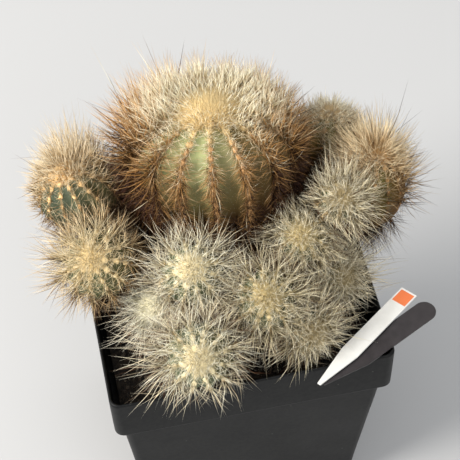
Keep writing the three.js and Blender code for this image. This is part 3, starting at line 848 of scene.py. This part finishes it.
def makeWool(name, head, path, areoles, material, draw):
    # a felted cushion on each areole, and short hairs that close into a mound at the crown
    look = kindLook[head["kind"]]
    form = pointsOf(cushion)
    age = areoles["age"]
    size = look["cushion"] * (1.25 - 0.55 * np.clip(age * 1.6, 0, 1))
    size = size * draw.uniform(*woolLook["padSize"], len(age))
    padWide, padTall, padThick = woolLook["padShape"]
    tall = size * padTall * look["padLong"]
    local = form[None] * np.stack([size * padWide, tall, size * padThick], axis=1)[:, None]
    local = local * draw.uniform(*woolLook["padLumps"], (len(age), len(form), 1))
    pads = (areoles["place"][:, None] + local[..., :1] * areoles["across"][:, None]
            + local[..., 1:2] * areoles["rising"][:, None]
            + local[..., 2:] * areoles["normal"][:, None])
    weight = np.clip(1 - age * 1.2, woolLook["leastTuft"], 1)
    pick = draw.choice(len(age), look["tuftWool"], p=weight / weight.sum())
    tufts = len(pick)
    out = unit(areoles["normal"][pick] + draw.normal(0, woolLook["tuftLean"], (tufts, 3)))
    apart = draw.normal(0, woolLook["tuftSpread"], (tufts, 3)) * size[pick][:, None]
    root = areoles["place"][pick] + apart
    root = root + areoles["rising"][pick] * draw.uniform(-1, 1, (tufts, 1)) * tall[pick][:, None]
    length = look["woolLength"] * draw.uniform(*woolLook["tuftLength"], tufts)[:, None]
    # the mound over the crown, in clumps
    mound = look["moundWool"]
    wide = min(look["mound"] / head["radius"], 0.9)
    spread = np.sqrt((np.arange(look["clumps"]) + 0.5) / look["clumps"]) * wide
    turn = np.arange(look["clumps"]) * woolLook["clumpTurn"]
    clump = draw.integers(0, look["clumps"], mound)
    clumpWide = wide * woolLook["clumpSpread"] / math.sqrt(look["clumps"])
    offset = draw.normal(0, clumpWide, (mound, 2))
    flat = np.stack([spread * np.cos(turn), spread * np.sin(turn)], axis=1)[clump] + offset
    latitude = np.arccos(np.clip(np.linalg.norm(flat, axis=1), 0, 0.98))
    step = stepAt(head, path, latitude)
    azimuth = np.arctan2(flat[:, 1], flat[:, 0])
    points, side, up, _ = skinPoints(name, head, path, step, azimuth, latitude)
    normal = normalsOf(head, side, up, latitude)
    fan = (offset * 2 + flat * 0.9) / wide
    splay = fan[:, :1] * path["sideX"][-1] + fan[:, 1:] * path["sideY"][-1]
    root = np.concatenate([root, points])
    splay = splay + draw.normal(0, woolLook["moundLean"], (mound, 3))
    out = np.concatenate([out, unit(normal + splay)])
    taller = look["woolLength"] * draw.uniform(*woolLook["moundLength"], mound)[:, None]
    length = np.concatenate([length, taller])
    n = tufts + mound
    age = np.clip(age * look["woolAge"], 0, 1)
    hairAge = np.concatenate([age[pick], np.zeros(mound)])
    hairs = {"root": root, "knee": root + out * length * 0.5, "tip": root + out * length,
             "radius": np.full(n, look["radius"] * woolLook["hairWidth"])}
    strands, along = bentNeedles(hair, hairs)
    mesh = copiesOf(name + "_wool", [(cushion, len(age)), (hair, n)])
    mesh.vertices.foreach_set("co", (np.concatenate([pads.reshape(-1, 3), strands]) * mm).ravel())
    perPad, perHair = len(form), len(hair.vertices)
    # the pads count as partway along a hair, which sets how much painted root shade they get
    giveNumbers(mesh, {
        "along": np.concatenate([np.full(len(age) * perPad, woolLook["padTone"]), along]),
        "age": np.concatenate([np.repeat(age, perPad), np.repeat(hairAge, perHair)]),
        "tone": np.concatenate([np.repeat(draw.uniform(0, 1, len(age)), perPad),
                                np.repeat(draw.uniform(0, 1, n), perHair)])})
    addPiece(mesh, name + "_wool", material, name)


# Colours of each kind: skin high and low, wool young and old, spines from crown to base.
kindPaint = {
    "old": {"skinHigh": (155, 160, 110), "skinLow": (88, 64, 26),
            "woolYoung": (244, 219, 164), "woolOld": (202, 158, 108),
            "crown": (255, 250, 224), "middle": (202, 150, 82),
            "oldSpine": (60, 31, 17), "tip": (212, 168, 116)},
    "straw": {"skinHigh": (106, 114, 82), "skinLow": (84, 80, 48),
              "woolYoung": (253, 232, 182), "woolOld": (186, 146, 98),
              "crown": (252, 236, 198), "middle": (208, 174, 124),
              "oldSpine": (80, 50, 30), "tip": (232, 210, 172)},
    "pale": {"skinHigh": (104, 114, 86), "skinLow": (88, 84, 54),
             "woolYoung": (250, 237, 198), "woolOld": (212, 180, 128),
             "crown": (255, 252, 232), "middle": (250, 234, 196),
             "oldSpine": (98, 60, 33), "tip": (255, 248, 226)},
    "rust": {"skinHigh": (108, 100, 46), "skinLow": (94, 60, 22),
             "woolYoung": (226, 184, 126), "woolOld": (150, 108, 66),
             "crown": (255, 236, 196), "middle": (222, 182, 124),
             "oldSpine": (56, 32, 20), "tip": (216, 186, 142)},
}
# The next two are duller copies of pale for the heads on the right, away from the key light:
# partly their own duller tone, partly painted shade.
kindPaint["khaki"] = kindPaint["pale"] | {
    "woolYoung": (218, 200, 152), "crown": (252, 243, 216),
    "middle": (242, 226, 184), "tip": (250, 242, 216)}
kindPaint["dusty"] = kindPaint["khaki"] | {"woolYoung": (204, 186, 144)}
# a brighter copy of pale for the small head sitting in its neighbours' shade: painted light
kindPaint["cream"] = kindPaint["pale"] | {
    "woolYoung": (252, 246, 218), "woolOld": (240, 222, 178),
    "middle": (250, 240, 212), "oldSpine": (150, 110, 70)}
kindPaint["tan"] = kindPaint["straw"] | {
    "woolYoung": (242, 208, 152), "crown": (236, 220, 188),
    "middle": (194, 160, 112), "skinHigh": (74, 82, 62)}
# a lighter copy of rust for the head behind the main one, in its shade: painted light
kindPaint["far"] = kindPaint["rust"] | {
    "woolYoung": (226, 200, 154), "crown": (255, 248, 222),
    "middle": (242, 216, 170), "tip": (246, 226, 190)}


skinPaint = {"cork": (74, 50, 34), "wax": (196, 208, 190)}
# roughness, spread of age, darkest tone and the shade at the root
fibreLook = {"wool": (0.9, 0.3, 0.88, 0.85), "spines": (0.45, 0.45, 0.66, 0.42),
             "oldSpines": (0.45, 0.45, 0.78, 0.42)}


def skinMaterial(kind, colours):
    material, tree, shader = newMaterial(kind + "_skin", {"Specular IOR Level": 0.3})
    where = objectPlace(tree)
    height = attribute(tree, "latitude")
    crest = attribute(tree, "crest")
    blotch = useGroup(tree, mottle, {"Place": where, "Scale": 160.0, "Contrast": 0.16,
                                     "Low": (0.82, 0.82, 0.82, 1), "High": (1.12, 1.12, 1.12, 1)})
    body = blendColours(tree, softStep(tree, height, 0.2, 0.75), colours["skinLow"],
                        colours["skinHigh"])
    body = blendColours(tree, 1.0, body, blotch["Color"], "MULTIPLY")
    # painted shade: the side away from the key light is painted darker and browner, towards the
    # low skin colour
    tan = mathNode(tree, "MULTIPLY", softStep(tree, attribute(tree, "shadedSide"), -0.1, 0.8), 0.85)
    body = blendColours(tree, tan, body, colours["skinLow"])
    corky = mathNode(tree, "MULTIPLY", softStep(tree, height, 0.42, 0.22), 0.9)
    body = blendColours(tree, corky, body, paint(*skinPaint["cork"]))
    body = blendColours(tree, softStep(tree, height, 0.84, 0.91), body, colours["woolYoung"])
    ridge = mathNode(tree, "MULTIPLY", softStep(tree, crest, 0.86, 1.0), 0.5)
    body = blendColours(tree, ridge, body, colours["woolOld"])
    speck = addNode(tree, "ShaderNodeTexVoronoi")
    feed(tree, speck, {"Vector": where, "Scale": 900.0})
    wax = softStep(tree, speck.outputs["Distance"], 0.22, 0.1)
    body = blendColours(tree, mathNode(tree, "MULTIPLY", wax, 0.3), body,
                        paint(*skinPaint["wax"]))
    rough = mathNode(tree, "ADD", 0.5, mathNode(tree, "MULTIPLY", blotch["Mask"], 0.2))
    relief = mathNode(tree, "ADD", blotch["Mask"], wax)
    feed(tree, shader, {"Base Color": body, "Roughness": rough,
                        "Normal": bumpFrom(tree, relief, 0.25, 0.0004)})
    return material


def fibreMaterial(kind, name, tints, roughness, spread, darkest, root):
    material, tree, shader = newMaterial(kind + name, {"Roughness": roughness,
                                                       "Specular IOR Level": 0.35})
    colour = useGroup(tree, spineTint, {
        "Age": attribute(tree, "age"), "Tone": attribute(tree, "tone"),
        "Along": attribute(tree, "along"), "Spread": spread, "Darkest": darkest, "RootShade": root,
        "Crown": tints[0], "Middle": tints[1], "Old": tints[2], "Tip": tints[3],
        "Base": tints[4]})["Color"]
    feed(tree, shader, {"Base Color": colour})
    return material


def kindMaterials(kind, table):
    colours = {part: paint(*shade) for part, shade in table.items()}
    young, old = colours["woolYoung"], colours["woolOld"]
    spineTints = [colours[part] for part in ("crown", "middle", "oldSpine", "tip", "woolYoung")]
    spines = fibreLook["oldSpines" if kind == "old" else "spines"]
    return {
        "skin": skinMaterial(kind, colours),
        "wool": fibreMaterial(kind, "_wool", (young, old, old, young, young),
                              *fibreLook["wool"]),
        "spines": fibreMaterial(kind, "_spines", spineTints, *spines),
    }


materials = {kind: kindMaterials(kind, table) for kind, table in kindPaint.items()}
for number, (name, head) in enumerate(heads.items()):
    draw = np.random.default_rng(100 + number)
    look = materials[head["kind"]]
    path = paths[name]
    makeSkin(name, head, path, look["skin"])
    areoles = areolesOf(name, head, path, draw)
    makeWool(name, head, path, areoles, look["wool"], draw)
    total = makeSpines(name, head, path, areoles, look["spines"], draw)
    print(name, "has", total[0], "spines and", total[1], "dead ones")

# The pot: one rounded square carried up the outside, over the rim and down the inside.
potLook = {
    "corner": 0.067, "cornerSteps": 6, "sideCuts": 8,
    "outside": ((57.6, 0), (58.2, 0.3), (58.5, 1.0), (60.5, 20), (62.5, 40), (64.5, 60),
                (66.4, 80), (68.4, 100), (70.2, 118.6), (70.5, 119.6), (71.2, 120.0)),
    "collar": ((73.6, 120.0), (74.1, 120.3), (74.4, 121.0), (74.6, 130), (74.8, 140),
               (74.95, 148.6), (74.8, 149.5), (74.4, 149.95), (74.1, 150.0)),
    "inside": ((73.8, 149.9), (73.45, 149.3), (73.3, 148.4), (73.0, 135), (72.75, 122.6),
               (72.5, 121.9), (72.0, 121.6), (69.4, 121.6), (68.9, 121.3), (68.7, 120.4),
               (66.6, 100), (64.6, 80), (60.7, 40), (57.2, 4.0), (56.9, 3.1), (56.2, 2.6)),
    "wobble": 0.35, "wobbleSize": 70.0, "wobbleFullZ": 40,
    "drain": {"radius": 5.5, "reach": 44.4, "sides": 28, "depth": 20},
}


def ringUp(bm, ring, old, new):
    # one more ring above the last, grown or shrunk to its half side
    made = bmesh.ops.extrude_edge_only(bm, edges=ring)["geom"]
    fresh = [v for v in made if isinstance(v, bmesh.types.BMVert)]
    size = new[0] / old[0]
    bmesh.ops.scale(bm, verts=fresh, vec=(size, size, 1))
    bmesh.ops.translate(bm, verts=fresh, vec=(0, 0, new[1] - old[1]))
    inNew = set(fresh)
    return [e for e in bm.edges if e.is_boundary and e.verts[0] in inNew and e.verts[1] in inNew]


def makePot(look, material):
    bm = bmesh.new()
    bmesh.ops.create_grid(bm, x_segments=1, y_segments=1, size=1)
    bmesh.ops.bevel(bm, geom=bm.verts[:], offset=look["corner"], segments=look["cornerSteps"],
                    profile=0.5, affect="VERTICES", material=-1)
    straight = [e for e in bm.edges if e.calc_length() > 1]
    bmesh.ops.subdivide_edges(bm, edges=straight, cuts=look["sideCuts"])
    rings = look["outside"] + look["collar"] + look["inside"]
    bmesh.ops.scale(bm, verts=bm.verts, vec=(rings[0][0], rings[0][0], 1))
    ring = bm.edges[:]
    for old, new in zip(rings, rings[1:]):
        ring = ringUp(bm, ring, old, new)
    bmesh.ops.contextual_create(bm, geom=ring)
    bmesh.ops.recalc_face_normals(bm, faces=bm.faces)
    for v in bm.verts:
        side = noise.noise(v.co / look["wobbleSize"]) * look["wobble"]
        share = min(1, v.co.z / look["wobbleFullZ"])
        v.co += Vector((v.co.x, v.co.y, 0)).normalized() * side * share
    shell = addObject("pot_draft", meshOf(bm, "pot_shell"))
    drain = look["drain"]
    bm = bmesh.new()
    for x in (-1, 0, 1):
        for y in (-1, 0, 1):
            if x or y:
                spot = Matrix.Translation((x * drain["reach"], y * drain["reach"], 0))
                bmesh.ops.create_cone(bm, cap_ends=True, segments=drain["sides"],
                                      depth=drain["depth"], radius1=drain["radius"],
                                      radius2=drain["radius"], matrix=spot)
    cutter = addObject("pegs", meshOf(bm, "pegs"))
    cut = shell.modifiers.new("drain", "BOOLEAN")
    cut.operation = "DIFFERENCE"
    cut.solver = "EXACT"
    cut.object = cutter
    ready = shell.evaluated_get(bpy.context.evaluated_depsgraph_get())
    done = bpy.data.meshes.new_from_object(ready)
    done.name = "pot_plastic"
    bpy.data.objects.remove(shell)
    bpy.data.objects.remove(cutter)
    done.transform(Matrix.Scale(mm, 4))
    piece = addPiece(done, "pot_plastic", material, "pot")
    edges = piece.modifiers.new("soft_edges", "WEIGHTED_NORMAL")
    edges.keep_sharp = True
    return piece


# Soil: a rough surface closed down to the pot's floor, with loose grit on it.
soilLook = {"cells": 90, "topHalf": 69.2, "bottomHalf": 56.5, "bottom": 2.9, "corner": 4.2,
            "relief": 1.5, "size": 9.0, "fineSize": 2.5, "fineShare": 0.35, "sunk": 0.8,
            "grit": 1100, "gritSize": (0.5, 1.5), "gritEdge": 2, "gritRise": 0.2}


def soilHeight(x, y):
    at = Vector((x, y, 0)) / soilLook["size"]
    fine = noise.fractal(at * soilLook["fineSize"], 0.6, 2.0, 4) * soilLook["fineShare"]
    return soilZ + (noise.noise(at) + fine) * soilLook["relief"] - soilLook["sunk"]


def makeSoil(look, material):
    bm = bmesh.new()
    bmesh.ops.create_grid(bm, x_segments=look["cells"], y_segments=look["cells"],
                          size=look["topHalf"])
    straight = look["topHalf"] - look["corner"]
    for v in bm.verts:
        over = Vector((abs(v.co.x) - straight, abs(v.co.y) - straight))
        if min(over) > 0 and over.length > look["corner"]:
            over = over.normalized() * look["corner"]
            v.co.x = math.copysign(straight + over.x, v.co.x)
            v.co.y = math.copysign(straight + over.y, v.co.y)
        v.co.z = soilHeight(v.co.x, v.co.y)
    rim = [e for e in bm.edges if e.is_boundary]
    made = bmesh.ops.extrude_edge_only(bm, edges=rim)["geom"]
    fresh = [v for v in made if isinstance(v, bmesh.types.BMVert)]
    size = look["bottomHalf"] / look["topHalf"]
    for v in fresh:
        v.co = Vector((v.co.x * size, v.co.y * size, look["bottom"]))
    bmesh.ops.contextual_create(bm, geom=[e for e in bm.edges if e.is_boundary])
    bmesh.ops.recalc_face_normals(bm, faces=bm.faces)
    mesh = meshOf(bm, "soil_fill")
    mesh.transform(Matrix.Scale(mm, 4))
    addPiece(mesh, "soil_fill", material, "soil")


def makeGrit(look, material):
    bm = bmesh.new()
    bmesh.ops.create_icosphere(bm, subdivisions=1, radius=1)
    pebble = meshOf(bm, "pebble")
    draw = np.random.default_rng(41)
    form = pointsOf(pebble)
    n = look["grit"]
    half = look["topHalf"] - look["gritEdge"]
    spots = draw.uniform(-half, half, (n, 2))
    size = draw.uniform(*look["gritSize"], (n, 1, 1)) * draw.uniform(0.7, 1.2, (n, 1, 3))
    shaped = form[None] * size * draw.uniform(0.8, 1.15, (n, len(form), 1))
    spin = draw.uniform(0, 2 * math.pi, n)
    turned = shaped.copy()
    turned[..., 0] = (shaped[..., 0] * np.cos(spin)[:, None]
                      - shaped[..., 1] * np.sin(spin)[:, None])
    turned[..., 1] = (shaped[..., 0] * np.sin(spin)[:, None]
                      + shaped[..., 1] * np.cos(spin)[:, None])
    middle = np.array([(x, y, soilHeight(x, y) + look["gritRise"]) for x, y in spots])
    mesh = copiesOf("soil_grit", [(pebble, n)])
    mesh.vertices.foreach_set("co", ((turned + middle[:, None]) * mm).ravel())
    giveNumbers(mesh, {"tone": np.repeat(draw.uniform(0, 1, n), len(form))})
    addPiece(mesh, "soil_grit", material, "soil", smooth=False)


# Labels: the part's own flat shapes with their edges eased.
labelFinish = {"bevel": 0.18, "segments": 2, "patch": (74.8, 66.3), "patchHalf": 4.05,
               "patchEdge": 0.15, "patchColour": paint(224, 120, 70)}


def makeLabel(name, material):
    bm = bmesh.new()
    node = frame["nodes"][name]
    bm.from_mesh(node.data)
    bmesh.ops.transform(bm, matrix=node.matrix_world, verts=bm.verts)
    bmesh.ops.remove_doubles(bm, verts=bm.verts, dist=1e-6)
    bmesh.ops.dissolve_limit(bm, angle_limit=math.radians(3), verts=bm.verts, edges=bm.edges)
    bmesh.ops.bevel(bm, geom=bm.edges[:], offset=labelFinish["bevel"] * mm, profile=0.5,
                    segments=labelFinish["segments"], affect="EDGES", material=-1,
                    clamp_overlap=True)
    mesh = meshOf(bm, name + "_strip")
    piece = addPiece(mesh, name + "_strip", material, name)
    piece.modifiers.new("soft_edges", "WEIGHTED_NORMAL")


def potMaterial():
    material, tree, shader = newMaterial("pot_plastic", {"Specular IOR Level": 0.16})
    where = objectPlace(tree)
    cloud = useGroup(tree, mottle, {"Place": where, "Scale": 22.0, "Contrast": 0.3,
                                    "Low": paint(11, 12, 13), "High": paint(18, 19, 20)})
    dust = useGroup(tree, mottle, {"Place": where, "Scale": 420.0, "Contrast": 0.06,
                                   "Low": (0, 0, 0, 1), "High": (1, 1, 1, 1)})
    speck = addNode(tree, "ShaderNodeTexVoronoi")
    feed(tree, speck, {"Vector": where, "Scale": 120.0})
    dot = softStep(tree, speck.outputs["Distance"], 0.05, 0.03)
    body = blendColours(tree, mathNode(tree, "MULTIPLY", dot, 0.35), cloud["Color"],
                        paint(140, 138, 130))
    haze = mathNode(tree, "MULTIPLY", dust["Mask"], 0.018)
    body = blendColours(tree, haze, body, paint(120, 118, 112))
    grain = addNode(tree, "ShaderNodeTexNoise")
    feed(tree, grain, {"Vector": where, "Scale": 1500.0, "Detail": 2.0})
    rough = mathNode(tree, "ADD", 0.4, mathNode(tree, "MULTIPLY", cloud["Mask"], 0.12))
    feed(tree, shader, {"Base Color": body, "Roughness": rough,
                        "Normal": bumpFrom(tree, grain.outputs[0], 0.12, 0.0002)})
    return material


def soilMaterial(name, low, high, scale):
    material, tree, shader = newMaterial(name, {"Roughness": 0.95})
    where = objectPlace(tree)
    crumbs = useGroup(tree, mottle, {"Place": where, "Scale": scale, "Contrast": 0.12,
                                     "Low": low, "High": high})
    feed(tree, shader, {"Base Color": crumbs["Color"],
                        "Normal": bumpFrom(tree, crumbs["Mask"], 0.8, 0.0006)})
    return material


def whiteLabelMaterial():
    # a plain orange patch stands near the far end
    material, tree, shader = newMaterial("white_label", {"Roughness": 0.42})
    start, end = (np.array(labelLook["white"][k]) for k in ("tip", "end"))
    run = end - start
    turn = math.atan2(run[1], run[0])
    flat = addNode(tree, "ShaderNodeMapping", vector_type="TEXTURE")
    feed(tree, flat, {"Vector": objectPlace(tree),
                      "Location": (start[0] * mm, start[1] * mm, 0), "Rotation": (0, 0, turn)})
    axes = addNode(tree, "ShaderNodeSeparateXYZ")
    feed(tree, axes, {0: flat.outputs[0]})
    far, near = labelFinish["patch"]
    edge = labelFinish["patchEdge"]
    across = mathNode(tree, "ABSOLUTE", axes.outputs["Y"])
    inside = softStep(tree, across, (labelFinish["patchHalf"] + edge) * mm,
                      labelFinish["patchHalf"] * mm)
    inside = mathNode(tree, "MULTIPLY", inside, softStep(
        tree, axes.outputs["X"], (near - edge) * mm, near * mm))
    inside = mathNode(tree, "MULTIPLY", inside, softStep(
        tree, axes.outputs["X"], (far + edge) * mm, far * mm))
    stain = useGroup(tree, mottle, {"Place": objectPlace(tree), "Scale": 130.0, "Contrast": 0.3,
                                    "Low": paint(216, 215, 210), "High": paint(228, 227, 223)})
    body = blendColours(tree, inside, stain["Color"], labelFinish["patchColour"])
    feed(tree, shader, {"Base Color": body,
                        "Normal": bumpFrom(tree, stain["Mask"], 0.08, 0.0002)})
    return material


def smokeLabelMaterial():
    material, tree, shader = newMaterial("smoke_label", {"Alpha": 0.86, "IOR": 1.48})
    haze = useGroup(tree, mottle, {"Place": objectPlace(tree), "Scale": 240.0, "Contrast": 0.25,
                                   "Low": paint(42, 37, 38), "High": paint(54, 49, 50)})
    rough = mathNode(tree, "ADD", 0.3, mathNode(tree, "MULTIPLY", haze["Mask"], 0.15))
    feed(tree, shader, {"Base Color": haze["Color"], "Roughness": rough,
                        "Normal": bumpFrom(tree, haze["Mask"], 0.1, 0.0002)})
    return material


makePot(potLook, potMaterial())
makeSoil(soilLook, soilMaterial("soil_fill", paint(18, 14, 11), paint(44, 36, 28), 300.0))
makeGrit(soilLook, soilMaterial("soil_grit", paint(44, 38, 32), paint(84, 75, 64), 500.0))
makeLabel("label_white", whiteLabelMaterial())
makeLabel("label_smoke", smokeLabelMaterial())
print("pot, soil and labels made")

# Floor, out of the object.
bm = bmesh.new()
bmesh.ops.create_grid(bm, x_segments=1, y_segments=1, size=studioLook["floorSize"] / 2)
bmesh.ops.translate(bm, verts=bm.verts, vec=(0, 0, studioLook["floorZ"]))
floorMesh = meshOf(bm, "studio_floor")
floorPaint = newMaterial("studio_floor", {
    "Base Color": paint(*[studioLook["floorGrey"]] * 3), "Roughness": 0.7})[0]
floorMesh.materials.append(floorPaint)
floor = addObject("studio_floor", floorMesh)

faces = sum(len(p.data.loop_triangles) for p in bpy.data.objects if p.type == "MESH"
            and not p.hide_render and not p.data.calc_loop_triangles())
print("triangles shown:", faces)
